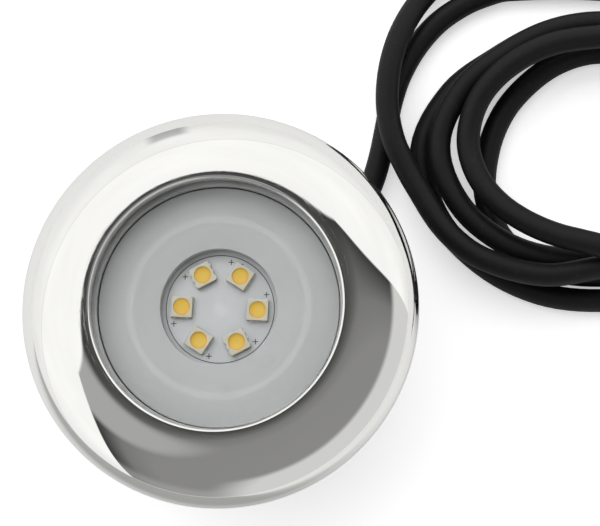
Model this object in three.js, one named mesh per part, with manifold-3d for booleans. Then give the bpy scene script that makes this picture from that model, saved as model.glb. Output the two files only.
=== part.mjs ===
// Underwater pool light. A domed stainless bezel clamps a glass lens onto a moulded
// housing, whose threaded stem goes through the pool wall and takes a lock nut behind it.
// Six LEDs sit on a board behind a grey mask, and a rubber cable leaves the stem's end.
// Millimetres, +Z up. The light lies face up: its axis is Z and its stem ends at z = 0.

import * as THREE from 'three';
import { mergeVertices } from 'three/addons/utils/BufferGeometryUtils.js';
import Module from 'manifold-3d';

const wasm = await Module();
wasm.setup();

// ---- driving dimensions ----

const WALL_Z = 50; // the wall face, which the wall gasket seats on
const FIT = 0.3; // gap left between neighbouring pieces
const ROUND = 60; // facets round a large ring
const SMALL = 20; // facets round a small pin or tube

const BEZEL = { rim: 46.75, foot: 1.5, crown: 31.2, height: 10.2, flat: 29.9, lip: 29.2, lipZ: 8.7,
  sheet: 1.2 };
const GLASS = { radius: 31.6, bottom: 5.1, thick: 3.2 };
const MASK = { radius: 28.2, bottom: 2.7, thick: 0.8, hole: 13.7, collar: 0.9, collarZ: 0.1 };
const LED = { count: 6, ring: 8.9, turn: -3, side: 5, height: 1.6, cup: 2.1, cupDeep: 0.6 };
const BOARD = { radius: 16, bottom: -1.6, top: 0 };
const SCREW = { count: 4, ring: 38.4, shank: 1.45, head: 2.6, headTop: 1, end: 6.4, hole: 1.75 };

const STEM_R = 23.9; // crest of the G 1 1/2 thread
const BORE_R = 20.5;
const LEDGE = { radius: 18.2, z: 32.9 }; // the driver board rests on it
const FLANGE = { radius: 41, bottom: 1.1, top: 2.6 };
const CUP = { inner: 32, outer: 35.5, top: 8 }; // wall round the glass
const BULKHEAD = { bottom: 15, top: 18 }; // closes the dry space at the back

const EXIT_ANGLE = Math.PI / 4; // direction in which the cable leaves the stem
const EXIT_Z = 8;
const BOSS = { back: -9, front: 5, half: 8, bottom: 1, wall: 2, floor: 1.4 };
const SLOT = { half: 4.5, from: 18, to: 26 }; // open slot in the stem for the cable
const GLAND = { flats: 13, thread: 5.2, bore: 3.3, flange: 6.2, body: 13, end: 16.5 };

const NUT = { flats: 62, bore: 24.25, bottom: 29.9, height: 10 };
const SLIP = { inner: 24.4, outer: 31, bottom: 40, height: 2 };

const CABLE_R = 3;
const CORE_R = 0.95;
const COIL = { x: 92, y: 48, inner: 21, outer: 43.5, bottom: 0.1, height: 19.5 };

// ---- materials ----

const finish = (color, roughness, metalness = 0) =>
  new THREE.MeshStandardMaterial({ color, roughness, metalness });

const steel = () => finish(0xdcdbd6, 0.08, 1);
const blackPlastic = () => finish(0x1c1d1e, 0.5);
const blackRubber = () => finish(0x262626, 0.75);
const aluminium = () => finish(0xb9bcc0, 0.4, 1);
const brass = () => finish(0xb8a06a, 0.3, 1);

// ---- shape helpers ----

// Points of an elliptical arc in the (radius, height) plane; angles in degrees.
function arc(cr, cz, ar, az, from, to, steps) {
  const points = [];
  for (let i = 0; i <= steps; i++) {
    const t = THREE.MathUtils.degToRad(from + ((to - from) * i) / steps);
    points.push([cr + ar * Math.cos(t), cz + az * Math.sin(t)]);
  }
  return points;
}

// Turns [radius, height] points about Z. They run anticlockwise round the section.
function turned(points, facets = ROUND) {
  const closed = points[0][0] === 0 ? points : [...points, points[0]];
  const profile = closed.map(([r, z]) => new THREE.Vector2(r, z));
  return new THREE.LatheGeometry(profile, facets).rotateX(Math.PI / 2);
}

// A flat square-edged ring.
function ring(inner, outer, bottom, top, facets = ROUND) {
  return turned([[outer, bottom], [outer, top], [inner, top], [inner, bottom]], facets);
}

// A flat disc with chamfered edges.
function disc(radius, bottom, top, chamfer, facets = ROUND) {
  const c = chamfer;
  return turned([
    [0, bottom], [radius - c, bottom], [radius, bottom + c],
    [radius, top - c], [radius - c, top], [0, top],
  ], facets);
}

// A ring with chamfered edges.
function softRing(inner, outer, bottom, top, chamfer, facets = ROUND) {
  const c = chamfer;
  return turned([
    [outer - c, bottom], [outer, bottom + c], [outer, top - c], [outer - c, top],
    [inner + c, top], [inner, top - c], [inner, bottom + c], [inner + c, bottom],
  ], facets);
}

function block(x, y, z, cx, cy, cz) {
  return new THREE.BoxGeometry(x, y, z).translate(cx, cy, cz);
}

// A plain cylinder along Z from one height to another.
function pin(radius, bottom, top, facets = SMALL) {
  const length = top - bottom;
  const shape = new THREE.CylinderGeometry(radius, radius, length, facets);
  return shape.rotateX(Math.PI / 2).translate(0, 0, bottom + length / 2);
}

// A six-sided prism along Z with a round hole; flats is the width across flats.
function hexNut(flats, bore, bottom, height, facets) {
  const shape = new THREE.Shape();
  const corner = flats / 2 / Math.cos(Math.PI / 6);
  for (let i = 0; i < 6; i++) {
    const t = (i * Math.PI) / 3;
    shape[i ? 'lineTo' : 'moveTo'](corner * Math.cos(t), corner * Math.sin(t));
  }
  shape.holes.push(new THREE.Path().absarc(0, 0, bore, 0, 2 * Math.PI, true));
  const settings = { depth: height, bevelEnabled: false, curveSegments: facets };
  return new THREE.ExtrudeGeometry(shape, settings).translate(0, 0, bottom);
}

// A round cable along a smooth line through the points, with open-spline ends.
function cable(points, radius, steps, sides = 5) {
  const path = new THREE.CatmullRomCurve3(points.map((p) => new THREE.Vector3(...p)), false);
  const section = new THREE.Shape().absarc(0, 0, radius, 0, 2 * Math.PI, false);
  const settings = { steps, extrudePath: path, bevelEnabled: false, curveSegments: sides };
  return new THREE.ExtrudeGeometry(section, settings);
}

// Booleans on closed meshes.
function solid(geometry) {
  const bare = geometry.clone();
  bare.deleteAttribute('normal');
  bare.deleteAttribute('uv');
  const merged = mergeVertices(bare, 1e-3);
  return new wasm.Manifold(new wasm.Mesh({
    numProp: 3,
    vertProperties: new Float32Array(merged.attributes.position.array),
    triVerts: new Uint32Array(merged.index.array),
  }));
}

function shaped(manifold) {
  const mesh = manifold.getMesh();
  const geometry = new THREE.BufferGeometry();
  geometry.setAttribute('position', new THREE.BufferAttribute(mesh.vertProperties, 3));
  geometry.setIndex(new THREE.BufferAttribute(mesh.triVerts, 1));
  return geometry;
}

function cut(geometry, ...tools) {
  return shaped(tools.reduce((body, tool) => body.subtract(solid(tool)), solid(geometry)));
}

function around(count, turnDegrees = 0) {
  const step = (2 * Math.PI) / count;
  const first = THREE.MathUtils.degToRad(turnDegrees);
  return Array.from({ length: count }, (_, i) => first + i * step);
}

function add(group, name, geometry, material) {
  const mesh = new THREE.Mesh(geometry, material);
  mesh.name = name;
  group.add(mesh);
  return mesh;
}

// ---- frame groups ----

const light = new THREE.Group();

const face = new THREE.Group(); // heights from the wall face
face.position.z = WALL_Z;
light.add(face);

const outlet = new THREE.Group(); // its +X is the cable's way out
outlet.rotation.z = EXIT_ANGLE;
outlet.position.z = EXIT_Z;
light.add(outlet);

// ---- bezel, its carrier and screws ----

function bezelShell() {
  const b = BEZEL;
  const roll = b.flat - b.lip;
  const crest = b.foot + b.height;
  return turned([
    ...arc(b.crown, b.foot, b.rim - b.crown, b.height, 0, 90, 10),
    ...arc(b.flat, crest - roll, roll, roll, 90, 180, 3),
    [b.lip, b.lipZ],
    [b.lip + b.sheet, b.lipZ],
    [b.lip + b.sheet, crest - b.sheet],
    ...arc(b.crown, b.foot, b.rim - b.crown - b.sheet, b.height - b.sheet, 90, 0, 5),
  ]);
}

function screwHoles(bottom, top) {
  return around(SCREW.count, 45).map((t) => {
    const hole = pin(SCREW.hole, bottom, top, 10);
    return hole.translate(SCREW.ring * Math.cos(t), SCREW.ring * Math.sin(t), 0);
  });
}

add(face, 'bezel', bezelShell(), steel());
add(face, 'bezel_carrier', cut(ring(36.5, 42, 3, 7, 48), ...screwHoles(2, 8)), blackPlastic());

around(SCREW.count, 45).forEach((t, i) => {
  const s = SCREW;
  const head = [[0, 0.1], [s.head, 0.1], [s.head, s.headTop]];
  const section = [...head, [s.shank, s.headTop], [s.shank, s.end], [0, s.end]];
  const screw = add(face, `bezel_screw_${i + 1}`, turned(section, 10), steel());
  screw.position.set(s.ring * Math.cos(t), s.ring * Math.sin(t), 0);
});

// ---- glass and its seals ----

const glassTop = GLASS.bottom + GLASS.thick;
add(face, 'front_gasket', ring(29.6, 31.2, glassTop + 0.05, BEZEL.lipZ - 0.05, 48), blackRubber());
add(face, 'glass_lens', disc(GLASS.radius, GLASS.bottom, glassTop, 0.5), finish(0xf4f8f8, 0.03));
add(face, 'glass_seal', ring(28.5, GLASS.radius, MASK.bottom, GLASS.bottom - 0.1, 48), finish(0x9a9c9c, 0.6));

// ---- mask plate with a collar that holds the LED board down ----

const maskTop = MASK.bottom + MASK.thick;
const maskSection = [
  [MASK.hole, MASK.collarZ],
  [MASK.hole + MASK.collar, MASK.collarZ],
  [MASK.hole + MASK.collar, MASK.bottom],
  [MASK.radius, MASK.bottom],
  [MASK.radius, maskTop],
  [MASK.hole, maskTop],
];
add(face, 'mask_plate', turned(maskSection), finish(0xb9babb, 0.55));

// ---- LED board, LEDs and heat path ----

add(face, 'led_board', disc(BOARD.radius, BOARD.bottom, BOARD.top, 0.1, 40), finish(0xd3d5d8, 0.45));

const ledFoot = BOARD.top + 0.05;
const ledTop = ledFoot + LED.height;
around(LED.count, LED.turn).forEach((t, i) => {
  const spot = new THREE.Group();
  spot.rotation.z = t;
  face.add(spot);
  const cup = pin(LED.cup, ledTop - LED.cupDeep, ledTop + 1, SMALL).translate(LED.ring, 0, 0);
  const package5050 = block(LED.side, LED.side, LED.height, LED.ring, 0, ledFoot + LED.height / 2);
  const phosphor = pin(LED.cup - 0.2, ledTop - LED.cupDeep + 0.05, ledTop - 0.2, 16);
  add(spot, `led_body_${i + 1}`, cut(package5050, cup), finish(0xe9e4d6, 0.4));
  add(spot, `led_phosphor_${i + 1}`, phosphor.translate(LED.ring, 0, 0), finish(0xf0bd33, 0.35));
});

const padBottom = BOARD.bottom - 0.35;
const spreaderTop = padBottom - 0.05;
const spreaderBottom = spreaderTop - 7.8;
const wireSpots = [[14.8, 0], [-14.8, 0]];
const wireHoles = wireSpots.map(([x, y]) => pin(1.3, -12, 0, 12).translate(x, y, 0));
add(face, 'thermal_pad', pin(13, padBottom, BOARD.bottom - 0.05, 36), finish(0x8d96a6, 0.8));
add(face, 'heat_spreader', cut(disc(20, spreaderBottom, spreaderTop, 0.5, 40), ...wireHoles),
  aluminium());

const driverTop = LEDGE.z - WALL_Z + 1.65;
const driverBottom = driverTop - 1.6;
add(face, 'spacer_ring', ring(18.3, 20, driverTop + 0.1, spreaderBottom - 0.1, 40),
  finish(0xe8e8e4, 0.5));
wireSpots.forEach(([x, y], i) => {
  const wire = pin(0.7, driverTop + 0.1, BOARD.bottom - 0.1, 8).translate(x, y, 0);
  const color = i ? 0x1d1d1f : 0xb3201c;
  add(face, i ? 'led_wire_black' : 'led_wire_red', wire, finish(color, 0.45));
});

// ---- driver, hung under its board ----

add(face, 'driver_board', pin(19.9, driverBottom, driverTop, 40), finish(0x2c5f3f, 0.45));
const under = driverBottom - 0.1;

function underDriver(name, geometry, x, y, turn, material) {
  const piece = add(face, name, geometry, material);
  piece.position.set(x, y, under);
  piece.rotation.z = turn;
}

underDriver('capacitor', disc(4, -12, 0, 0.4, 16), -11.1, 6.4, 0, finish(0x23355c, 0.35));
const bobbin = turned([[0, -7], [4.3, -7], [4.3, -6], [3.4, -5.6], [3.4, -1.4], [4.3, -1], [4.3, 0],
  [0, 0]], 16);
underDriver('inductor', bobbin, 0, -12.7, 0, finish(0x3c3a38, 0.6));
underDriver('bridge_rectifier', block(7.5, 4.5, 2.6, 0, 0, -1.3), 11, 5.5, -1.1, finish(0x18181a, 0.5));
underDriver('driver_ic', block(5, 4, 1.6, 0, 0, -0.8), 1, 12.5, 0, finish(0x202022, 0.5));
underDriver('terminal_block', block(9, 10, 9, 0, 0, -4.5), -1.06, -1.06, EXIT_ANGLE,
  finish(0x2f6b3a, 0.5));

// ---- housing: flange, glass cup, threaded stem and cable boss ----

function housingBody() {
  const top = WALL_Z + FLANGE.top;
  const section = [
    [0, BULKHEAD.bottom],
    [BORE_R, BULKHEAD.bottom],
    [BORE_R, 0],
    [STEM_R - 0.6, 0],
    [STEM_R, 0.6],
    [STEM_R, WALL_Z + FLANGE.bottom],
    [FLANGE.radius - 0.4, WALL_Z + FLANGE.bottom],
    [FLANGE.radius, WALL_Z + FLANGE.bottom + 0.4],
    [FLANGE.radius, top],
    [CUP.outer, top],
    [CUP.outer, WALL_Z + CUP.top],
    [CUP.inner, WALL_Z + CUP.top],
    [CUP.inner, top],
    [BORE_R, top],
    [BORE_R, LEDGE.z],
    [LEDGE.radius, LEDGE.z],
    [LEDGE.radius, BULKHEAD.top],
    [0, BULKHEAD.top],
  ];
  const b = BOSS;
  const depth = b.front - b.back;
  const middle = (b.front + b.back) / 2;
  const bossTop = BULKHEAD.bottom + 1;
  const bossHigh = bossTop - b.bottom;
  const boss = block(depth, 2 * b.half, bossHigh, middle, 0, b.bottom + bossHigh / 2);
  const roomHigh = BULKHEAD.top + 1 - b.bottom - b.floor;
  const room = block(depth - 2 * b.wall, 2 * (b.half - b.wall), roomHigh, middle, 0,
    b.bottom + b.floor + roomHigh / 2);
  const glandHole = pin(GLAND.thread + FIT, 0, b.wall * 2, SMALL);
  glandHole.rotateY(Math.PI / 2).translate(b.front - b.wall - 1, 0, EXIT_Z);
  const slotTop = pin(SLOT.half, SLOT.from, SLOT.to, SMALL).rotateY(Math.PI / 2);
  slotTop.translate(0, 0, EXIT_Z);
  const slotLow = block(SLOT.to - SLOT.from, 2 * SLOT.half, EXIT_Z + 1,
    (SLOT.to + SLOT.from) / 2, 0, (EXIT_Z - 1) / 2);
  const turn = (shape) => solid(shape.rotateZ(EXIT_ANGLE));
  let body = solid(turned(section)).add(turn(boss)).subtract(turn(room));
  body = body.subtract(turn(glandHole)).subtract(turn(slotTop)).subtract(turn(slotLow));
  for (const hole of screwHoles(WALL_Z + 0.5, WALL_Z + 4)) body = body.subtract(solid(hole));
  return shaped(body);
}

add(light, 'housing', housingBody(), blackPlastic());
add(face, 'wall_gasket', ring(26, 34, 0, FLANGE.bottom - 0.1, 48), blackRubber());

// ---- slip washer and lock nut behind the wall ----

add(light, 'slip_washer', ring(SLIP.inner, SLIP.outer, SLIP.bottom, SLIP.bottom + SLIP.height, 48),
  finish(0xd9d9d4, 0.5));
add(light, 'lock_nut', hexNut(NUT.flats, NUT.bore, NUT.bottom, NUT.height, 24), blackPlastic());

// ---- cable gland ----

const along = (geometry) => geometry.rotateY(Math.PI / 2); // Z pieces turned along the outlet
const g = GLAND;
const glandBody = turned([
  [g.bore, 2.2], [g.thread, 2.2], [g.thread, g.flange], [g.flats / 2, g.flange],
  [g.flats / 2, g.flange + 2], [g.thread, g.flange + 2], [g.thread, g.body],
  [g.thread - 0.55, g.body], [g.thread - 0.55, g.flange + 2.8], [g.bore, g.flange + 2.8],
], SMALL);
add(outlet, 'gland_body', along(glandBody), brass());
add(outlet, 'gland_washer', along(ring(g.thread + 0.3, g.flats / 2, BOSS.front + FIT,
  g.flange - FIT, SMALL)), blackRubber());
add(outlet, 'gland_seal', along(ring(g.bore, 4.3, g.flange + 3.1, g.body - 0.1, SMALL)),
  blackRubber());

function glandNut() {
  const start = g.flange + 2 + FIT;
  const hex = hexNut(g.flats, g.bore, start, g.end - start, 12).rotateZ(Math.PI / 6);
  return cut(hex, pin(g.thread + FIT, start - 1, g.body + 0.4, SMALL));
}
add(outlet, 'gland_nut', along(glandNut()), brass());

// ---- cable inside the boss ----

const sheathEnd = -2.8;
add(outlet, 'cable_end', along(pin(CABLE_R, sheathEnd, g.end, 16)), blackRubber());
[['core_brown', 1, 0x6b3d22], ['core_blue', -1, 0x2b5fa8]].forEach(([name, side, color]) => {
  const route = [
    [sheathEnd - 0.3, side * 1.3, 0],
    [-4.4, side * 1.4, 0.6],
    [-5.2, side * 1.6, 2.6],
    [-4.6, side * 2, 8],
    [-2.6, side * 2.4, 13],
    [-1.6, side * 2.5, WALL_Z + under - 9 - EXIT_Z - 0.6],
  ];
  add(outlet, name, cable(route, CORE_R, 12, 4), finish(color, 0.4));
});

// ---- free cable: from the gland, round the coil, to its bare end ----

const leadRoute = [
  [12.1, 12.1, 8], [14.6, 14.6, 8], [17.2, 17.2, 7.9], [20.4, 20.3, 7.2], [24, 24.1, 5.9],
  [27.8, 28.6, 4.5], [31.2, 33.6, 3.6], [34.1, 39.4, 3.1], [36.3, 46.5, 3.1],
  [37.9, 54, 3.1], [39.3, 61, 3.1], [41.8, 68.4, 3.1], [46, 75.8, 3.1],
  [51.6, 82.2, 3.1], [58.4, 86.9, 3.1], [64.6, 89.5, 3.1], [70, 90.8, 3.1],
];
const loopRoute = [
  [45.6, 37.6, 10.1], [42.6, 43.4, 10.1], [40.2, 49, 10.3], [38.8, 55.5, 10.4],
  [38.5, 62.5, 10.4], [39.7, 71, 9.9], [42.6, 79.6, 8.2], [47.6, 88.3, 5.2],
  [54.6, 95.2, 3.6], [63, 99.6, 3.1], [71.5, 101.2, 3.1], [79.5, 100.8, 3.1], [86, 99.2, 3.6],
];
const tailRoute = [
  [134.8, 69.4, 15], [140.6, 62.6, 12.1], [144.6, 54.8, 8.6], [146.7, 46.6, 5.6],
  [147.6, 38.4, 3.7], [148.7, 30.8, 3.1], [150.9, 23.4, 3.1], [154.2, 16.8, 3.1],
  [158.9, 10.7, 3.1], [164.6, 5.6, 3.1], [171.2, 1.8, 3.1],
];
add(light, 'cable_lead', cable(leadRoute, CABLE_R, 26), blackRubber());
add(light, 'cable_loop', cable(loopRoute, CABLE_R, 24), blackRubber());
add(light, 'cable_tail', cable(tailRoute, CABLE_R, 16), blackRubber());

const coilTop = COIL.bottom + COIL.height;
const coilRing = softRing(COIL.inner, COIL.outer, COIL.bottom, coilTop, CABLE_R, 32);
add(light, 'cable_coil', coilRing, blackRubber()).position.set(COIL.x, COIL.y, 0);

// ---- bare end of the cable: two cores with crimped ferrules ----

const bareEnd = new THREE.Group(); // its +X runs on from the cable's end
bareEnd.position.set(...tailRoute.at(-1));
bareEnd.rotation.z = Math.atan2(-3.8, 6.6);
light.add(bareEnd);
[['brown', 1, 0x6b3d22], ['blue', -1, 0x2b5fa8]].forEach(([shade, side, color]) => {
  const y = side * 1.35;
  const route = [[0.3, y, 0], [4, y * 1.3, 0], [8, y * 2, 0], [12, y * 2.3, 0]];
  add(bareEnd, `bare_core_${shade}`, cable(route, CORE_R, 5, 4), finish(color, 0.4));
  const ferrule = along(turned([[0, 0], [1.35, 0], [1.35, 3], [0.85, 3.4], [0.85, 9], [0, 9]], 10));
  const spot = add(bareEnd, `ferrule_${shade}`, ferrule, finish(0xc8c9cc, 0.3, 1));
  spot.position.set(12.3, y * 2.3, 0);
});

export default light;
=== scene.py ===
import math

import bmesh
import bpy
from mathutils import Matrix, Vector


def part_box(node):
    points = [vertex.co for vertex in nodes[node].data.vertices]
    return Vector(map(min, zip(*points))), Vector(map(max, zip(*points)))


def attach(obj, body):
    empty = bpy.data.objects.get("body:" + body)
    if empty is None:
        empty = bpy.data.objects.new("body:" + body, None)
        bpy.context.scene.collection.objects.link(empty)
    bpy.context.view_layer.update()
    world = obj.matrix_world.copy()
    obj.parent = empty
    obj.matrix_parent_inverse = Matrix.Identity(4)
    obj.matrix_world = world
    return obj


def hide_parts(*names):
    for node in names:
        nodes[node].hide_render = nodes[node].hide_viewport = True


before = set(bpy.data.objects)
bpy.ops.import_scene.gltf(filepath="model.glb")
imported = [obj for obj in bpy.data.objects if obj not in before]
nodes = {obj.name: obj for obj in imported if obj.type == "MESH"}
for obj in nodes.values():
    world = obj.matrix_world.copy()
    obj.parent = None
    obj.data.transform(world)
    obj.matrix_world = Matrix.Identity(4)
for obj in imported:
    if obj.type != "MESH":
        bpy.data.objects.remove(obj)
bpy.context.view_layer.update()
mm = 0.001
print("frame loaded:", len(nodes), "nodes")


def top(name):
    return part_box(name)[1][2] / mm


def bottom(name):
    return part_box(name)[0][2] / mm


def reach(name):
    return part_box(name)[1][0] / mm  # outer radius of a piece turned about the light's axis


wallZ = bottom("wall_gasket")  # every size from here on is in millimetres

cameraSettings = {"place": (53.4, -74.0, 491.6), "aim": (18.79, 10.84, 0), "lens": 127.4}


def makeCamera(settings):
    place = (Vector(settings["place"]) + Vector((0, 0, wallZ))) * mm
    aim = (Vector(settings["aim"]) + Vector((0, 0, wallZ))) * mm
    forward = (aim - place).normalized()
    right = Vector((-forward.z, 0, forward.x)).normalized()  # keeps +Y upright in the view
    up = right.cross(forward)
    data = bpy.data.cameras.new("camera")
    data.lens = settings["lens"]
    data.sensor_width = 36
    data.clip_start = 0.01
    data.clip_end = 50
    camera = bpy.data.objects.new("camera", data)
    bpy.context.scene.collection.objects.link(camera)
    turn = Matrix((right, up, -forward)).transposed().to_4x4()
    camera.matrix_world = Matrix.Translation(place) @ turn
    bpy.context.scene.camera = camera


makeCamera(cameraSettings)
print("camera placed")


class Wire:  # one output of a shader node, so that maths on it reads as plain maths
    def __init__(self, socket):
        self.socket = socket

    def node(self, kind, settings=None, inputs=None, out=0):
        tree = self.socket.id_data
        made = tree.nodes.new("ShaderNode" + kind)
        for name, value in (settings or {}).items():
            if name == "stops":
                fillRamp(made.color_ramp, value)
            else:
                setattr(made, name, value)
        for name, value in (inputs or {}).items():
            if isinstance(value, Wire):
                tree.links.new(value.socket, made.inputs[name])
            else:
                made.inputs[name].default_value = value
        return Wire(made.outputs[out])

    def maths(self, operation, first, second=0.0, third=0.0):
        return self.node("Math", {"operation": operation}, {0: first, 1: second, 2: third})

    def __add__(self, other):
        return self.maths("ADD", self, other)

    def __radd__(self, other):
        return self.maths("ADD", other, self)

    def __sub__(self, other):
        return self.maths("SUBTRACT", self, other)

    def __rsub__(self, other):
        return self.maths("SUBTRACT", other, self)

    def __mul__(self, other):
        return self.maths("MULTIPLY", self, other)

    def __rmul__(self, other):
        return self.maths("MULTIPLY", other, self)

    def least(self, other):
        return self.maths("MINIMUM", self, other)

    def size(self):
        return self.maths("ABSOLUTE", self)

    def part(self, axis):
        split = self.node("SeparateXYZ", None, {0: self})
        return Wire(split.socket.node.outputs[axis])

    def rise(self, low, high):  # 0 below low, 1 above high, smooth between
        settings = {"interpolation_type": "SMOOTHSTEP"}
        return self.node("MapRange", settings, {0: self, 1: low, 2: high, 3: 0.0, 4: 1.0})

    def ramp(self, stops):
        return self.node("ValToRGB", {"stops": stops}, {0: self})

    def noise(self, scale, detail=2.0, roughness=0.5):
        inputs = {"Vector": self, "Scale": scale, "Detail": detail, "Roughness": roughness}
        return self.node("TexNoise", None, inputs)

    def mixed(self, first, second):  # self is the share of the second colour
        settings = {"data_type": "RGBA"}
        return self.node("Mix", settings, {0: self, 6: first, 7: second}, out=2)

    def stretched(self, scale):
        return self.node("Mapping", None, {"Vector": self, "Scale": scale})


def fillRamp(ramp, stops):
    while len(ramp.elements) < len(stops):
        ramp.elements.new(1.0)
    for element, (place, shade) in zip(ramp.elements, stops):
        element.position = place
        element.color = shade if len(shade) == 4 else (*shade, 1.0)


def grey(value):
    return (value, value, value, 1.0)


def toned(colour, share=1.0):
    return tuple(min(1.0, c * share) for c in colour) + (1.0,)


def newFinish(name, **plain):
    material = bpy.data.materials.new(name)
    material.use_nodes = True
    shader = material.node_tree.nodes["Principled BSDF"]
    for socket, value in plain.items():
        socket = socket.replace("_", " ")
        shader.inputs[socket].default_value = (*value, 1.0) if isinstance(value, tuple) else value
    places = material.node_tree.nodes.new("ShaderNodeTexCoord")
    return material, Wire(places.outputs["Object"])


def feed(material, **varying):
    tree = material.node_tree
    shader = tree.nodes["Principled BSDF"]
    for socket, wire in varying.items():
        tree.links.new(wire.socket, shader.inputs[socket.replace("_", " ")])


def bump(height, strength, distance):
    inputs = {"Height": height, "Strength": strength, "Distance": distance * mm}
    return height.node("Bump", None, inputs)


steelLook = {
    "polish": 0.022,  # roughness where the steel is clean
    "smudge": 0.022,
    "lipWear": 0.10,
    "lipRadius": 31.4,  # the marks on the lip fade out past this
    "lipFade": 1.6,
    "wave": 0.5,
}


def polishedSteel():
    # mirror polish with soft waves from drawing, smudges, and fine turning marks on the lip
    look = steelLook
    material, place = newFinish("polishedSteel", Metallic=1.0, Base_Color=(0.93, 0.925, 0.9))
    x, y, z = place.part(0), place.part(1), place.part(2)
    radius = x.maths("SQRT", x * x + y * y)
    angle = x.maths("ARCTAN2", y, x)
    turns = radius.node("CombineXYZ", None, {0: angle * 4.0, 1: radius * 2600.0, 2: z * 900.0})
    scratches = turns.noise(1.0, 3.0, 0.65)
    smudges = place.noise(38.0, 4.0, 0.6).rise(0.45, 0.75)
    lip = 1.0 - radius.rise(look["lipRadius"] * mm, (look["lipRadius"] + look["lipFade"]) * mm)
    wear = lip * scratches.rise(0.5, 0.72)
    waves = place.noise(46.0, 1.0, 0.4)
    height = waves * look["wave"] + scratches * (0.006 + 0.05 * lip)
    rough = look["polish"] + smudges * look["smudge"] + wear * look["lipWear"]
    feed(material, Roughness=rough, Normal=bump(height, 0.35, 0.12))
    return material


def brushedSteel():
    material, place = newFinish("brushedSteel", Metallic=1.0, Base_Color=(0.62, 0.62, 0.61))
    grain = place.stretched((900.0, 900.0, 5000.0)).noise(1.0, 3.0, 0.6)
    feed(material, Roughness=0.22 + grain * 0.16, Normal=bump(grain, 0.2, 0.02))
    return material


def moulded(name, colour, roughness, grain=0.10, speck=900.0, drift=0.12):
    # moulded plastic or rubber: fine spark-eroded grain, slow drift in colour and gloss
    material, place = newFinish(name, Base_Color=colour)
    fine = place.noise(speck, 3.0, 0.6)
    slow = place.noise(55.0, 3.0, 0.55)
    shade = slow.rise(0.3, 0.7).mixed(toned(colour, 1 - drift), toned(colour, 1 + drift))
    rough = roughness - 0.05 + slow * 0.10 + fine * 0.04
    feed(material, Base_Color=shade, Roughness=rough, Normal=bump(fine, grain, 0.03))
    return material


def cableRubber():
    # matt black sheath with talc dust caught in its pores
    material, place = newFinish("cableRubber", Specular_IOR_Level=0.26)
    pores = place.noise(1500.0, 3.0, 0.7)
    drawn = place.noise(160.0, 2.0, 0.5)
    dust = place.noise(620.0, 4.0, 0.75).rise(0.56, 0.78)
    shade = (dust * 0.5).mixed((0.0075, 0.0075, 0.008, 1.0), (0.034, 0.034, 0.035, 1.0))
    rough = 0.44 + drawn * 0.12 + dust * 0.14
    feed(material, Base_Color=shade, Roughness=rough, Normal=bump(pores + drawn, 0.22, 0.03))
    return material


def clearGlass():
    # a low index keeps the lens nearly invisible from above, and its shadow is left clear
    material, place = newFinish(
        "clearGlass", Base_Color=(0.985, 0.995, 0.99), Roughness=0.0, IOR=1.12, Transmission_Weight=1.0)
    tree = material.node_tree
    shader = tree.nodes["Principled BSDF"]
    clear = place.node("BsdfTransparent")
    shadow = place.node("LightPath", out=1)
    both = place.node("MixShader", None, {0: shadow, 1: Wire(shader.outputs[0]), 2: clear})
    tree.links.new(both.socket, tree.nodes["Material Output"].inputs["Surface"])
    return material


def boardEnamel():
    # white solder mask with the copper's edges just showing through
    material, place = newFinish("boardEnamel", Roughness=0.34)
    cells = place.node("TexVoronoi", {"feature": "DISTANCE_TO_EDGE"}, {"Vector": place, "Scale": 150.0})
    seams = 1.0 - cells.rise(0.0, 0.05)
    slow = place.noise(90.0, 3.0, 0.5)
    shade = slow.rise(0.3, 0.7).mixed((0.515, 0.52, 0.535, 1.0), (0.565, 0.57, 0.585, 1.0))
    feed(material, Base_Color=shade, Normal=bump(1.0 - seams * 0.5 + slow * 0.2, 0.12, 0.03))
    return material


def phosphorGel():
    # silicone over phosphor powder: paler in the middle, amber where it meets the cup
    material, place = newFinish("phosphorGel", Roughness=0.3, Coat_Weight=0.3, Coat_Roughness=0.2)
    spot = place.node("UVMap", {"uv_map": "spot"})
    x, y = spot.part(0), spot.part(1)
    radius = x.maths("SQRT", x * x + y * y)
    powder = place.noise(2600.0, 3.0, 0.7)
    wander = place.noise(420.0, 2.0, 0.5)
    ring = (radius + wander * 0.22 - 0.11).rise(0.55, 1.02)
    shade = ring.mixed((0.70, 0.435, 0.022, 1.0), (0.56, 0.29, 0.012, 1.0))
    dark = powder.rise(0.52, 0.8) * 0.35
    feed(material, Base_Color=dark.mixed(shade, (0.50, 0.27, 0.015, 1.0)), Normal=bump(powder, 0.25, 0.03))
    return material


def packageResin():
    # cream resin, darker round the foot of each package
    material, place = newFinish("packageResin", Roughness=0.42)
    crown = top("led_body_1") * mm
    # darker towards the foot of each package, from 0.4 mm under its face downwards
    footDarkShare = 1.0 - place.part(2).rise(crown - 0.9 * mm, crown - 0.4 * mm)
    slow = place.noise(300.0, 2.0, 0.5).rise(0.3, 0.7)
    fine = place.noise(1800.0, 3.0, 0.6)
    resin = slow.mixed((0.55, 0.51, 0.405, 1.0), (0.58, 0.54, 0.435, 1.0))
    shade = (footDarkShare * 0.8).mixed(resin, (0.07, 0.066, 0.055, 1.0))
    feed(material, Base_Color=shade, Normal=bump(fine, 0.06, 0.03))
    return material


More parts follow.
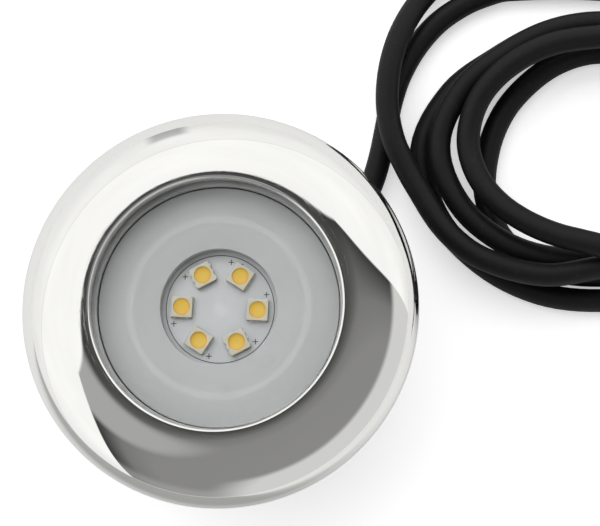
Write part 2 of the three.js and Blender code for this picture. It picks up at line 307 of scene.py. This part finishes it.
steel = polishedSteel()
screwSteel = brushedSteel()
cable = cableRubber()
glass = clearGlass()
enamel = boardEnamel()
phosphor = phosphorGel()
maskPlastic = moulded("maskPlastic", (0.475, 0.475, 0.479), 0.5, 0.05, 1400.0, 0.02)
sealGrey = moulded("sealGrey", (0.52, 0.52, 0.52), 0.45, 0.08)
packageCream = packageResin()
blackPlastic = moulded("blackPlastic", (0.016, 0.016, 0.017), 0.42, 0.16)
nutPlastic = moulded("nutPlastic", (0.020, 0.020, 0.021), 0.38, 0.14)
gasketRubber = moulded("gasketRubber", (0.020, 0.020, 0.020), 0.62, 0.12, 1300.0)
whitePlastic = moulded("whitePlastic", (0.62, 0.62, 0.60), 0.42, 0.08)
padGrey = moulded("padGrey", (0.24, 0.27, 0.33), 0.75)
boardGreen = moulded("boardGreen", (0.02, 0.10, 0.04), 0.35)
partBlack = moulded("partBlack", (0.02, 0.02, 0.022), 0.4)
sleeveBlue = moulded("sleeveBlue", (0.02, 0.04, 0.11), 0.28)
ferrite = moulded("ferrite", (0.045, 0.042, 0.04), 0.55)
terminalGreen = moulded("terminalGreen", (0.03, 0.15, 0.06), 0.4)
brownPvc = moulded("brownPvc", (0.13, 0.045, 0.018), 0.34, 0.05)
bluePvc = moulded("bluePvc", (0.025, 0.12, 0.40), 0.34, 0.05)
redPvc = moulded("redPvc", (0.45, 0.02, 0.02), 0.34, 0.05)
blackPvc = moulded("blackPvc", (0.02, 0.02, 0.02), 0.34, 0.05)


def turnedMetal(name, colour, roughness):
    material, place = newFinish(name, Metallic=1.0)
    grain = place.stretched((700.0, 700.0, 4200.0)).noise(1.0, 3.0, 0.6)
    stain = place.noise(120.0, 3.0, 0.6).rise(0.4, 0.8)
    shade = (stain * 0.6).mixed(toned(colour), toned(colour, 0.78))
    feed(material, Base_Color=shade, Roughness=roughness + grain * 0.12, Normal=bump(grain, 0.12, 0.02))
    return material


aluminium = turnedMetal("aluminium", (0.72, 0.73, 0.75), 0.26)
nickelBrass = turnedMetal("nickelBrass", (0.66, 0.60, 0.46), 0.2)
tinned = turnedMetal("tinned", (0.64, 0.64, 0.64), 0.28)
print("finishes made")


def linked(name, data, material):
    data.materials.append(material)
    piece = bpy.data.objects.new(name, data)
    bpy.context.scene.collection.objects.link(piece)
    return piece


def finished(bm, name, material, sharp=32):
    bmesh.ops.recalc_face_normals(bm, faces=bm.faces)
    bmesh.ops.scale(bm, vec=(mm, mm, mm), verts=bm.verts)
    mesh = bpy.data.meshes.new(name)
    bm.to_mesh(mesh)
    bm.free()
    smoothed(mesh, sharp)
    return linked(name, mesh, material)


def smoothed(mesh, sharp=32):
    mesh.shade_smooth()
    mesh.set_sharp_from_angle(angle=math.radians(sharp))


def standsFor(piece, body, slot, *names):
    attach(piece, body)
    if names:
        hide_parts(*names)
    return piece


def bend(centre, radii, start, end, count):  # points of an arc in a section
    points = []
    for i in range(count + 1):
        t = math.radians(start + (end - start) * i / count)
        points.append((centre[0] + radii[0] * math.cos(t), centre[1] + radii[1] * math.sin(t)))
    return points


def spun(outline, steps=128, edge=0.0, closed=True):
    # an outline of (radius, height) points turned about the light's axis
    bm = bmesh.new()
    verts = [bm.verts.new((r, 0, z)) for r, z in outline]
    pairs = list(zip(verts, verts[1:] + verts[:1]))
    for a, b in pairs if closed else pairs[:-1]:
        bm.edges.new((a, b))
    if edge:
        corners = [v for v in verts if v.co.x > 0.01]
        bmesh.ops.bevel(bm, geom=corners, offset=edge, offset_type="OFFSET", affect="VERTICES",
                        segments=3, profile=0.5, material=-1)
    bmesh.ops.spin(bm, geom=bm.verts[:] + bm.edges[:], cent=(0, 0, 0), axis=(0, 0, 1),
                   angle=2 * math.pi, steps=steps, use_merge=True)
    bmesh.ops.remove_doubles(bm, verts=bm.verts, dist=0.0005)
    return bm


def band(inner, outer, low, high, edge=0.15, steps=128):
    return spun([(outer, low), (outer, high), (inner, high), (inner, low)], steps, edge)


def plate(radius, low, high, edge=0.2, steps=96):
    return spun([(0, low), (radius, low), (radius, high), (0, high)], steps, edge, closed=False)


def brick(size, centre, edge=0.0):
    bm = bmesh.new()
    bmesh.ops.create_cube(bm, size=1.0)
    bmesh.ops.scale(bm, vec=size, verts=bm.verts)
    if edge:
        bmesh.ops.bevel(bm, geom=bm.edges[:], offset=edge, affect="EDGES", segments=3,
                        profile=0.5, material=-1)
    bmesh.ops.translate(bm, vec=centre, verts=bm.verts)
    return bm


def merged(*parts):
    whole = parts[0]
    for part in parts[1:]:
        spare = bpy.data.meshes.new("spare")
        part.to_mesh(spare)
        part.free()
        whole.from_mesh(spare)
        bpy.data.meshes.remove(spare)
    return whole


def carved(piece, cutters, operation="DIFFERENCE", sharp=32):
    for cutter in cutters:
        tool = piece.modifiers.new("cut", "BOOLEAN")
        tool.object = cutter
        tool.operation = operation
        tool.solver = "EXACT"
    depsgraph = bpy.context.evaluated_depsgraph_get()
    mesh = bpy.data.meshes.new_from_object(piece.evaluated_get(depsgraph))
    piece.modifiers.clear()
    piece.data = mesh
    smoothed(mesh, sharp)
    for cutter in cutters:
        bpy.data.objects.remove(cutter)
    return piece


def moved(bm, matrix):
    bmesh.ops.transform(bm, matrix=matrix, verts=bm.verts)
    return bm


cableSettings = {
    "radius": 3.0,
    "coilPlace": (92.0, 48.0),
    "floor": 3.1,  # height of the cable's middle where it lies on the surface
    "layer": 6.1,  # rise from one layer of the coil to the next
    "length": 1.5,  # metres
    "coreRadius": 0.95,
    "coreApart": 1.35,  # from the sheath's middle to each core's
    "crimpRadius": 1.35,
    "crimpTip": 0.85,
    "crimpStart": 12.3,  # past the end of the sheath
}

# the middle of the cable: out of the stem and round under the coil, over itself, and out to its bare end
crossOver = (53.0, 25.7, 10.9)

leadRoute = [
    (12.1, 12.1, 8), (14.6, 14.6, 8), (17.2, 17.2, 7.9), (20.4, 20.3, 7.2), (24, 24.1, 5.9),
    (27.8, 28.6, 4.5), (31.2, 33.6, 3.6), (34.1, 39.4, 3.1), (36.3, 46.5, 3.1), (37.9, 54, 3.1),
    (39.3, 61, 3.1), (41.8, 68.4, 3.1), (46, 75.8, 3.1), (51.6, 82.2, 3.1), (58.4, 86.9, 3.1),
    (64.6, 89.5, 3.1), (70, 90.8, 3.1),
]
loopRoute = [
    (45.6, 37.6, 10.1), (42.6, 43.4, 10.1), (40.2, 49, 10.3), (38.8, 55.5, 10.4), (38.5, 62.5, 10.4),
    (39.7, 71, 9.9), (42.6, 79.6, 8.2), (47.6, 88.3, 5.2), (54.6, 95.2, 3.6), (63, 99.6, 3.1),
    (71.5, 101.2, 3.1), (79.5, 100.8, 3.1), (86, 99.2, 3.6),
]
tailRoute = [
    (127.6, 73.2, 15.8), (134.8, 69.4, 14.6), (140.6, 62.6, 12.1), (144.6, 54.8, 8.6), (146.7, 46.6, 5.6),
    (147.6, 38.4, 3.7), (148.7, 30.8, 3.1), (150.9, 23.4, 3.1), (154.2, 16.8, 3.1), (158.9, 10.7, 3.1),
    (164.6, 5.6, 3.1), (171.2, 1.8, 3.1),
]
# the coil's radius and layer as it winds clockwise, at every eighth of a turn in the lower turns
# and every sixteenth in the upper ones
lowerTurns = [
    [(42.6, 0), (43.6, 0), (43.4, 0), (42, 0), (39.7, 0), (42.3, 0), (45, 0), (35, 0)],
    [(33.4, 0), (34.6, 0), (35.4, 0), (34.8, 0), (33.2, 0), (33.8, 0), (27.6, 0), (24.4, 0)],
    [(25.4, 0), (27, 0), (28.4, 0), (28.6, 0.4), (29.3, 0.95), (35.3, 1), (40.4, 1), (33.4, 1)],
    [(31.7, 1), (34.2, 1), (36.6, 1), (36.2, 1.2), (33, 1.85), (42.2, 1.4)],
]
upperTurns = [
    [(50.4, 0.3), (49, 0.6), (46.2, 1), (44.3, 1.1), (43.4, 1.15), (41.8, 1.45)],
    [(36.2, 2.4), (28.6, 2.6), (27.4, 2.3), (28.7, 1.95), (31.2, 1.6), (32.9, 1.35)],
    [(31.9, 1.5), (29, 1.85), (27.1, 1.9), (26.6, 1.8)],
    [(29.6, 1.85), (37.2, 2.05)],
]


def coilPoints(turns, first, step):
    # a point halfway between each two stations, on the smooth curve through them
    s = cableSettings
    stations = [Vector(station) for turn in turns for station in turn]
    points = []
    for i, here in enumerate(stations):
        angle = math.radians(first - step * i)
        points.append((angle, here))
        if i + 1 < len(stations):
            before = stations[max(i - 1, 0)]
            after = stations[i + 1]
            beyond = stations[min(i + 2, len(stations) - 1)]
            between = (here + after) * 0.5625 - (before + beyond) * 0.0625
            points.append((angle - math.radians(step / 2), between))
    x, y = s["coilPlace"]
    low, layer = s["floor"], s["layer"]
    return [(x + p.x * math.cos(t), y + p.x * math.sin(t), low + layer * p.y) for t, p in points]


def ropeCurve(name, points, radius, material, bevel=6, steps=6):
    places = [Vector(p) * mm for p in points]
    curve = bpy.data.curves.new(name, "CURVE")
    curve.dimensions = "3D"
    curve.bevel_depth = radius * mm
    curve.bevel_resolution = bevel
    curve.resolution_u = steps
    curve.use_fill_caps = True
    spline = curve.splines.new("BEZIER")
    spline.bezier_points.add(len(places) - 1)
    for i, knot in enumerate(spline.bezier_points):
        before = places[max(i - 1, 0)]
        after = places[min(i + 1, len(places) - 1)]
        along = (after - before).normalized()
        back = (places[i] - before).length / 3
        ahead = (after - places[i]).length / 3
        knot.handle_left_type = "FREE"
        knot.handle_right_type = "FREE"
        knot.co = places[i]
        knot.handle_left = places[i] - along * back
        knot.handle_right = places[i] + along * ahead
    return linked(name, curve, material)


def freeCable():
    s = cableSettings
    turnsBelow = coilPoints(lowerTurns, 90, 45)
    turnsAbove = coilPoints(upperTurns, 67.5, 22.5)
    route = leadRoute + turnsBelow + [crossOver] + loopRoute + turnsAbove + tailRoute
    flex = ropeCurve("cable", route, s["radius"], cable)
    standsFor(flex, "light", "cable_rubber", "cable_lead", "cable_loop", "cable_coil", "cable_tail")
    end = Vector(tailRoute[-1])
    along = (end - Vector(tailRoute[-2])).normalized()
    side = Vector((-along.y, along.x, 0))
    ends = []
    for shade, way, material in (("brown", 1, brownPvc), ("blue", -1, bluePvc)):
        apart = s["coreApart"] * way
        steps = [(-2.0, apart), (0.3, apart), (4, apart * 1.3), (8, apart * 2), (12, apart * 2.3)]
        core = ropeCurve(f"bareCore_{shade}", [end + along * a + side * b for a, b in steps],
                         s["coreRadius"], material, 4, 8)
        standsFor(core, "light", f"core_{shade}", f"bare_core_{shade}")
        wide, tip = s["crimpRadius"], s["crimpTip"]
        sleeve = spun([(0, 0), (wide, 0), (wide, 3), (tip, 3.4), (tip, 9), (0, 9)], 32, 0.12, closed=False)
        place = end + along * s["crimpStart"] + side * apart * 2.3
        facing = Matrix((side, Vector((0, 0, 1)), along)).transposed().to_4x4()
        crimp = finished(moved(sleeve, Matrix.Translation(place) @ facing), f"crimp_{shade}", tinned)
        standsFor(crimp, "light", "tinned_copper", f"ferrule_{shade}")
        ends += [core, crimp]


freeCable()
print("cable laid")

bezelSettings = {
    "crown": 31.2,  # radius where the dome levels off
    "flatIn": 29.9,  # and where the flat turns down into the lip
    "lip": 29.2,
    "lipHeight": 8.7,  # lowest edge of the lip, over the wall
    "sheet": 1.2,
}


def bezelShell():
    b = bezelSettings
    rim, foot, crest = reach("bezel"), bottom("bezel"), top("bezel")
    wide, tall = rim - b["crown"], crest - foot
    roll = b["flatIn"] - b["lip"]
    lipZ = wallZ + b["lipHeight"]
    outline = [(rim - 0.5, foot), (rim - 0.12, foot + 0.1)]
    outline += bend((b["crown"], foot), (wide, tall), 2, 90, 56)
    outline += bend((b["flatIn"], crest - roll), (roll, roll), 90, 180, 10)
    outline += [(b["lip"], lipZ + 0.1), (b["lip"] + 0.1, lipZ), (b["lip"] + b["sheet"], lipZ)]
    outline += [(b["lip"] + b["sheet"], crest - b["sheet"] - 0.3), (b["crown"], crest - b["sheet"])]
    outline += bend((b["crown"], foot), (wide - b["sheet"], tall - b["sheet"]), 80, 0, 16)
    shell = finished(spun(outline, 256), "bezelShell", steel, 40)
    standsFor(shell, "light", "polished_steel", "bezel")


lensSettings = {"glassEdge": 0.45, "gasketInner": 29.6, "sealInner": 28.5}
maskSettings = {"window": 13.7, "collar": 14.6, "sheet": 0.8, "edge": 0.22}


def lensStack():
    s = lensSettings
    glassRound = plate(reach("glass_lens"), bottom("glass_lens"), top("glass_lens"), s["glassEdge"], 160)
    standsFor(finished(glassRound, "lensGlass", glass), "light", "lens_glass", "glass_lens")
    front = band(s["gasketInner"], reach("front_gasket"), bottom("front_gasket"), top("front_gasket"), 0.1)
    standsFor(finished(front, "frontGasket", gasketRubber), "light", "black_rubber", "front_gasket")
    seal = band(s["sealInner"], reach("glass_seal"), bottom("glass_seal"), top("glass_seal"), 0.3, 160)
    standsFor(finished(seal, "glassSeal", sealGrey), "light", "grey_silicone", "glass_seal")


def maskPlate():
    s = maskSettings
    low, high, wide = bottom("mask_plate"), top("mask_plate"), reach("mask_plate")
    under = high - s["sheet"]
    outline = [(s["window"], low), (s["collar"], low), (s["collar"], under), (wide, under),
               (wide, high), (s["window"], high)]
    mask = finished(spun(outline, 160, s["edge"]), "maskPlate", maskPlastic)
    standsFor(mask, "light", "mask_grey", "mask_plate")


bezelShell()
lensStack()
maskPlate()
print("bezel, glass and mask made")

boardSettings = {
    "inkCircle": (12.6, 12.8),
    "inkDeep": 0.03,
    "stroke": 0.2,
    "plus": (1.3, 11.35, 20),  # length, distance from the middle, degrees on from its package
    "minus": (1.1, 11.6, 65),
}
ledSettings = {
    "count": 6,
    "ring": 8.9,  # from the board's middle to each package's
    "turn": -3,
    "side": 5.0,
    "cup": 2.1,
    "lead": 0.9,
    "leadStep": 1.5,
    "sunk": 0.2,  # the gel's middle lies this far under the package's face
}


def ledSpots():
    s = ledSettings
    return [math.radians(s["turn"] + 360 / s["count"] * i) for i in range(s["count"])]


def ledBoard():
    low, high = bottom("led_board"), top("led_board")
    board = plate(reach("led_board"), low, high, 0.1, 128)
    standsFor(finished(board, "ledBoard", enamel), "light", "board_white", "led_board")
    s = boardSettings
    deep, stroke = s["inkDeep"], s["stroke"]
    ink = band(*s["inkCircle"], high, high + deep, 0.0, 160)
    marks = []
    size, away, turn = s["plus"]
    for spot in ledSpots():
        angle = spot + math.radians(turn)
        place = (away * math.cos(angle), away * math.sin(angle), high + deep / 2)
        marks.append(brick((size, stroke, deep), place))
        marks.append(brick((stroke, size, deep), place))
    size, away, turn = s["minus"]
    angle = math.radians(turn)
    place = (away * math.cos(angle), away * math.sin(angle), high + deep / 2)
    marks.append(brick((size, stroke, deep), place))
    ringAndMarks = finished(merged(ink, *marks), "boardPrint", partBlack)
    standsFor(ringAndMarks, "light", "part_black")


def packageBody(name, turn, low, high):
    s = ledSettings
    block = brick((s["side"], s["side"], high - low), (s["ring"], 0, low + (high - low) / 2), 0.16)
    body = finished(moved(block, turn), name, packageCream)
    outline = [(0, 0), (s["cup"] - 0.25, 0), (s["cup"] + 0.12, 1.0), (0, 1.0)]
    cup = spun(outline, 48, 0.0, closed=False)
    lift = Matrix.Translation((s["ring"], 0, high - 0.55))
    return carved(body, [finished(moved(cup, turn @ lift), "cupTool", packageCream)])


def packageLeads(name, turn, low):
    s = ledSettings
    leads = []
    for side in (-1, 1):
        for step in (-s["leadStep"], 0, s["leadStep"]):
            place = (s["ring"] + step, side * (s["side"] / 2), low + 0.25)
            leads.append(brick((s["lead"], 0.5, 0.5), place, 0.1))
    return finished(moved(merged(*leads), turn), name, tinned)


def phosphorWindow(name, turn, high):
    # a dished skin of gel that climbs the cup's wall at its edge
    s = ledSettings
    outline = [(0, -0.12), (1.0, -0.10), (1.55, -0.04), (s["cup"] - 0.08, 0.08), (s["cup"] - 0.2, -0.3),
               (0, -0.3)]
    gel = spun(outline, 48, 0.0, closed=False)
    layer = gel.loops.layers.uv.new("spot")
    for face in gel.faces:
        for loop in face.loops:
            loop[layer].uv = loop.vert.co.xy / s["cup"]
    place = Matrix.Translation((s["ring"], 0, high - s["sunk"]))
    return finished(moved(gel, turn @ place), name, phosphor, 60)


def ledPackages():
    low, high = bottom("led_body_1"), top("led_body_1")
    for i, spot in enumerate(ledSpots(), 1):
        turn = Matrix.Rotation(spot, 4, "Z")
        body = packageBody(f"ledBody_{i}", turn, low, high)
        standsFor(body, "light", "led_package", f"led_body_{i}")
        leads = packageLeads(f"ledLeads_{i}", turn, low)
        standsFor(leads, "light", "tinned_copper")
        window = phosphorWindow(f"ledPhosphor_{i}", turn, high)
        standsFor(window, "light", "led_phosphor", f"led_phosphor_{i}")


ledBoard()
ledPackages()
print("LED board made")

stemSettings = {
    "crest": 23.9,
    "root": 22.7,
    "pitch": 2.309,
    "threadTop": 48.0,
    "threadLow": 1.4,
    "bore": 20.5,
    "cut": 48,  # steps in one turn of the thread
    "slot": 9,  # width of the slot that lets the cable out
    "slotTop": 8,  # height of the middle of its arch
    "exitTurn": 45,  # degrees round from +X to the slot
}
housingSettings = {
    "flange": 41.0,
    "under": 1.1,  # the flange's faces, over the wall
    "over": 2.6,
    "wall": (32, 35.5),  # inner and outer radius of the wall round the glass
    "wallTop": 8,
    "narrow": 18.2,  # bore between the bulkhead and the shelf
    "bulkhead": (15, 18),
    "shelf": 32.9,
}


def slotTools():  # the arched slot in the stem's wall
    s = stemSettings
    slot = brick((s["slot"], s["slot"], s["slot"]), (22, 0, 3.5))
    across = Matrix.Translation((0, 0, s["slotTop"])) @ Matrix.Rotation(math.pi / 2, 4, "Y")
    arch = moved(plate(s["slot"] / 2, 18, 27, 0.0, 48), across)
    turn = Matrix.Rotation(math.radians(s["exitTurn"]), 4, "Z")
    return [finished(moved(shape, turn), "slotTool", blackPlastic) for shape in (slot, arch)]


def housing():
    s = stemSettings
    h = housingSettings
    flange, narrow, shelf = h["flange"], h["narrow"], h["shelf"]
    inner, outer = h["wall"]
    deep, shallow = h["bulkhead"]
    under = wallZ + h["under"]
    high = wallZ + h["over"]
    crest = wallZ + h["wallTop"]
    outline = [
        (0, deep), (s["bore"], deep), (s["bore"], 0), (s["root"] - 0.5, 0), (s["root"], 0.6),
        (s["root"], under - 1.6), (s["root"] + 0.9, under - 1.2), (s["root"] + 0.9, under),
        (flange - 0.4, under), (flange, under + 0.4), (flange, high - 0.3), (flange - 0.3, high),
        (outer, high), (outer, crest - 0.2), (outer - 0.2, crest), (inner, crest), (inner, high),
        (s["bore"], high), (s["bore"], shelf), (narrow, shelf), (narrow, shallow), (0, shallow),
    ]
    body = finished(spun(outline, 160, 0.0, closed=False), "housingBody", blackPlastic)
    carved(body, slotTools())
    standsFor(body, "light", "black_plastic", "housing")
    turn = Matrix.Rotation(math.radians(s["exitTurn"]), 4, "Z")
    boss = finished(moved(brick((14, 16, 14.5), (-2, 0, 8.25), 0.8), turn), "cableBoss", blackPlastic)
    standsFor(boss, "light", "black_plastic")


def thread():
    s = stemSettings
    bm = bmesh.new()
    half = s["pitch"] / 2
    foot, crest = s["root"] - 0.3, s["crest"]
    ridge = [(foot, -half * 0.92), (crest - 0.12, -0.2), (crest, -0.08), (crest, 0.08),
             (crest - 0.12, 0.2), (foot, half * 0.92)]
    verts = [bm.verts.new((r, 0, s["threadLow"] + z)) for r, z in ridge]
    bm.faces.new(verts)
    turns = math.floor((s["threadTop"] - s["threadLow"]) / s["pitch"])
    bmesh.ops.spin(bm, geom=bm.verts[:] + bm.edges[:] + bm.faces[:], cent=(0, 0, 0), axis=(0, 0, 1),
                   dvec=(0, 0, s["pitch"] / s["cut"]), angle=2 * math.pi * turns, steps=s["cut"] * turns)
    ridges = finished(bm, "stemThread", blackPlastic, 50)
    carved(ridges, slotTools(), sharp=50)
    standsFor(ridges, "light", "black_plastic")


gasketSettings = {"inner": 26, "outer": 34, "land": 2, "groove": 0.15}


def wallGasket():
    s = gasketSettings
    low, high = bottom("wall_gasket"), top("wall_gasket")
    inner, outer, land = s["inner"], s["outer"], s["land"]
    hollow = low + s["groove"]
    outline = [(inner, low), (inner + land, low), (inner + land + 0.2, hollow), (outer - land - 0.2, hollow),
               (outer - land, low), (outer, low), (outer, high), (inner, high)]
    ring = finished(spun(outline, 128, 0.06), "wallGasketRing", gasketRubber)
    standsFor(ring, "light", "black_rubber", "wall_gasket")


nutSettings = {"flats": 62.0, "bore": 24.25, "face": 32.2, "chamfer": 2.4}
washerSettings = {"bore": 24.4, "edge": 0.3}


def lockNut():
    s = nutSettings
    low, high = bottom("lock_nut"), top("lock_nut")
    corner = s["flats"] / 2 / math.cos(math.pi / 6)
    bm = bmesh.new()
    bmesh.ops.create_circle(bm, cap_ends=True, radius=corner, segments=6)
    grown = bmesh.ops.extrude_face_region(bm, geom=bm.faces[:])
    lifted = [v for v in grown["geom"] if isinstance(v, bmesh.types.BMVert)]
    bmesh.ops.translate(bm, vec=(0, 0, high - low), verts=lifted)
    bmesh.ops.recalc_face_normals(bm, faces=bm.faces)
    upright = [e for e in bm.edges if abs(e.verts[0].co.z - e.verts[1].co.z) > 1]
    bmesh.ops.bevel(bm, geom=upright, offset=1.2, affect="EDGES", segments=4, profile=0.5, material=-1)
    nut = finished(moved(bm, Matrix.Translation((0, 0, low))), "lockNut", nutPlastic)
    face, drop, past = s["face"], s["chamfer"], corner + 1
    outline = [(0, low), (face, low), (past, low + drop), (past, high - drop), (face, high), (0, high)]
    chamfer = finished(spun(outline, 96, 0.0, closed=False), "chamferTool", nutPlastic)
    carved(nut, [chamfer], "INTERSECT")
    hole = [(0, low - 1), (s["bore"] + 2, low - 1), (s["bore"], low + 1), (s["bore"], high - 1),
            (s["bore"] + 2, high + 1), (0, high + 1)]
    carved(nut, [finished(spun(hole, 96, 0.0, closed=False), "boreTool", nutPlastic)])
    standsFor(nut, "lock_nut", "nut_plastic", "lock_nut")


def slipWasher():
    low, high = bottom("slip_washer"), top("slip_washer")
    flat = band(washerSettings["bore"], reach("slip_washer"), low, high, washerSettings["edge"])
    ring = finished(flat, "slipRing", whitePlastic)
    standsFor(ring, "slip_washer", "white_plastic", "slip_washer")


housing()
thread()
wallGasket()
lockNut()
slipWasher()
print("housing, nut and washer made")

keptFinishes = {
    "bezel_carrier": blackPlastic, "thermal_pad": padGrey, "heat_spreader": aluminium,
    "spacer_ring": whitePlastic, "led_wire_red": redPvc, "led_wire_black": blackPvc,
    "driver_board": boardGreen, "capacitor": sleeveBlue, "inductor": ferrite,
    "bridge_rectifier": partBlack, "driver_ic": partBlack, "terminal_block": terminalGreen,
    "gland_body": nickelBrass, "gland_washer": gasketRubber, "gland_seal": gasketRubber,
    "gland_nut": nickelBrass, "cable_end": cable, "core_brown": brownPvc, "core_blue": bluePvc,
}
keptFinishes.update({f"bezel_screw_{i + 1}": screwSteel for i in range(4)})
for name, material in keptFinishes.items():
    nodes[name].data.materials.clear()
    nodes[name].data.materials.append(material)

lightSettings = {
    "key": 0.95,
    "keyFrom": (-0.22, 0.42, 1.0),
    "keySpread": 62,  # degrees, so its shadows are soft
    "floorGlow": 0.5,  # lifts the floor to white where it is seen directly
    "background": 1.0,
}


def studioSky():
    world = bpy.data.worlds.new("studio")
    world.use_nodes = True
    tree = world.node_tree
    tree.nodes.clear()
    way = Wire(tree.nodes.new("ShaderNodeTexCoord").outputs["Generated"])
    x, y, z = way.part(0), way.part(1), way.part(2)
    # the room is dark below three straight edges of a big bright sheet overhead
    edgeRight = (z * 0.300 + x * 0.089 - y) * 0.95
    edgeMiddle = (z * 0.256 + x * 0.548 - y) * 0.86
    edgeLeft = (z * 0.726 + x * 1.42 - y) * 0.53
    depth = edgeRight.least(edgeMiddle).least(edgeLeft)
    inRoom = depth.rise(-0.004, 0.010)
    room = depth.ramp([(0.0, grey(0.035)), (0.03, grey(0.06)), (0.085, grey(0.115)), (0.15, grey(0.20)),
                       (0.3, grey(0.255)), (1.0, grey(0.27))])
    # paler patches low on three sides of the room
    east = (x * 0.87 - y * 0.5).rise(0.30, 0.60) * (1.0 - z.rise(0.53, 0.66))
    room = east.mixed(room, grey(0.66))
    south = (1.0 - z.rise(0.15, 0.42)) * (1.0 - east) * 0.6
    room = south.mixed(room, grey(0.40))
    west = (x * -0.40 - y * 0.13 + z * 0.92).rise(0.96, 0.995)
    room = west.mixed(room, grey(0.40))
    join = x * 0.30 - y * 0.545 + z * 0.777 - 0.02  # two sheets of cloth meet along this line
    seam = 1.0 - join.size().rise(0.002, 0.010)
    farSheet = 1.0 - join.rise(-0.006, 0.006)
    low = 1.0 - z.rise(0.0, 0.45)
    drift = way.noise(2.3, 2.0, 0.5)
    sheet = 1.0 - seam * 0.2 - farSheet * 0.07 - low * 0.10 + (drift - 0.5) * 0.22
    post = (x * -0.94 - y * 0.342).size()  # an upright in front of the sheet, far left
    post = (1.0 - post.rise(0.05, 0.12)) * y.rise(0.1, 0.5) * (1.0 - z.rise(0.25, 0.40))
    sheet = sheet - post * 0.38
    sky = inRoom.mixed(sheet, room)
    below = z.rise(-0.02, 0.02)
    sky = below.mixed(grey(0.8), sky)
    seen = way.node("LightPath", out=0).mixed(sky, grey(lightSettings["background"]))
    glow = way.node("Background", None, {0: seen, 1: 1.0})
    output = tree.nodes.new("ShaderNodeOutputWorld")
    tree.links.new(glow.socket, output.inputs[0])
    bpy.context.scene.world = world


def keyLight():
    data = bpy.data.lights.new("key", "SUN")
    data.energy = lightSettings["key"]
    data.angle = math.radians(lightSettings["keySpread"])
    lamp = bpy.data.objects.new("key", data)
    lamp.rotation_euler = Vector(lightSettings["keyFrom"]).to_track_quat("Z", "Y").to_euler()
    lamp.visible_glossy = False  # the steel mirrors the sky alone
    bpy.context.scene.collection.objects.link(lamp)


def floor():
    bm = bmesh.new()
    bmesh.ops.create_grid(bm, x_segments=1, y_segments=1, size=3000)
    material, place = newFinish("paleFloor", Roughness=0.6, Specular_IOR_Level=0.2)
    shade = place.noise(3.0, 2.0, 0.5).rise(0.3, 0.7).mixed(grey(0.90), grey(0.93))
    # a painted shadow on the floor beside the light, towards -Y, darkening it to grey 0.42 in the steel's
    # reflections only
    shadedPatch = (place.part(1) * -1.0).rise(0.02, 0.14) * (1.0 - place.part(0).rise(0.02, 0.16))
    paintedShade = shadedPatch * place.node("LightPath", out=3)  # painted shade, seen only by glossy rays, so the steel's foot mirrors a dark patch of floor
    feed(material, Base_Color=paintedShade.mixed(shade, grey(0.42)))
    tree = material.node_tree
    seen = place.node("LightPath", out=0) * lightSettings["floorGlow"]
    glow = place.node("Emission", None, {"Strength": seen})
    both = place.node("AddShader", None, {0: Wire(tree.nodes["Principled BSDF"].outputs[0]), 1: glow})
    tree.links.new(both.socket, tree.nodes["Material Output"].inputs["Surface"])
    ground = finished(bm, "ground", material)


studioSky()
floor()
keyLight()
scene = bpy.context.scene
scene.view_settings.view_transform = "Standard"
scene.view_settings.look = "None"
print("studio lit")
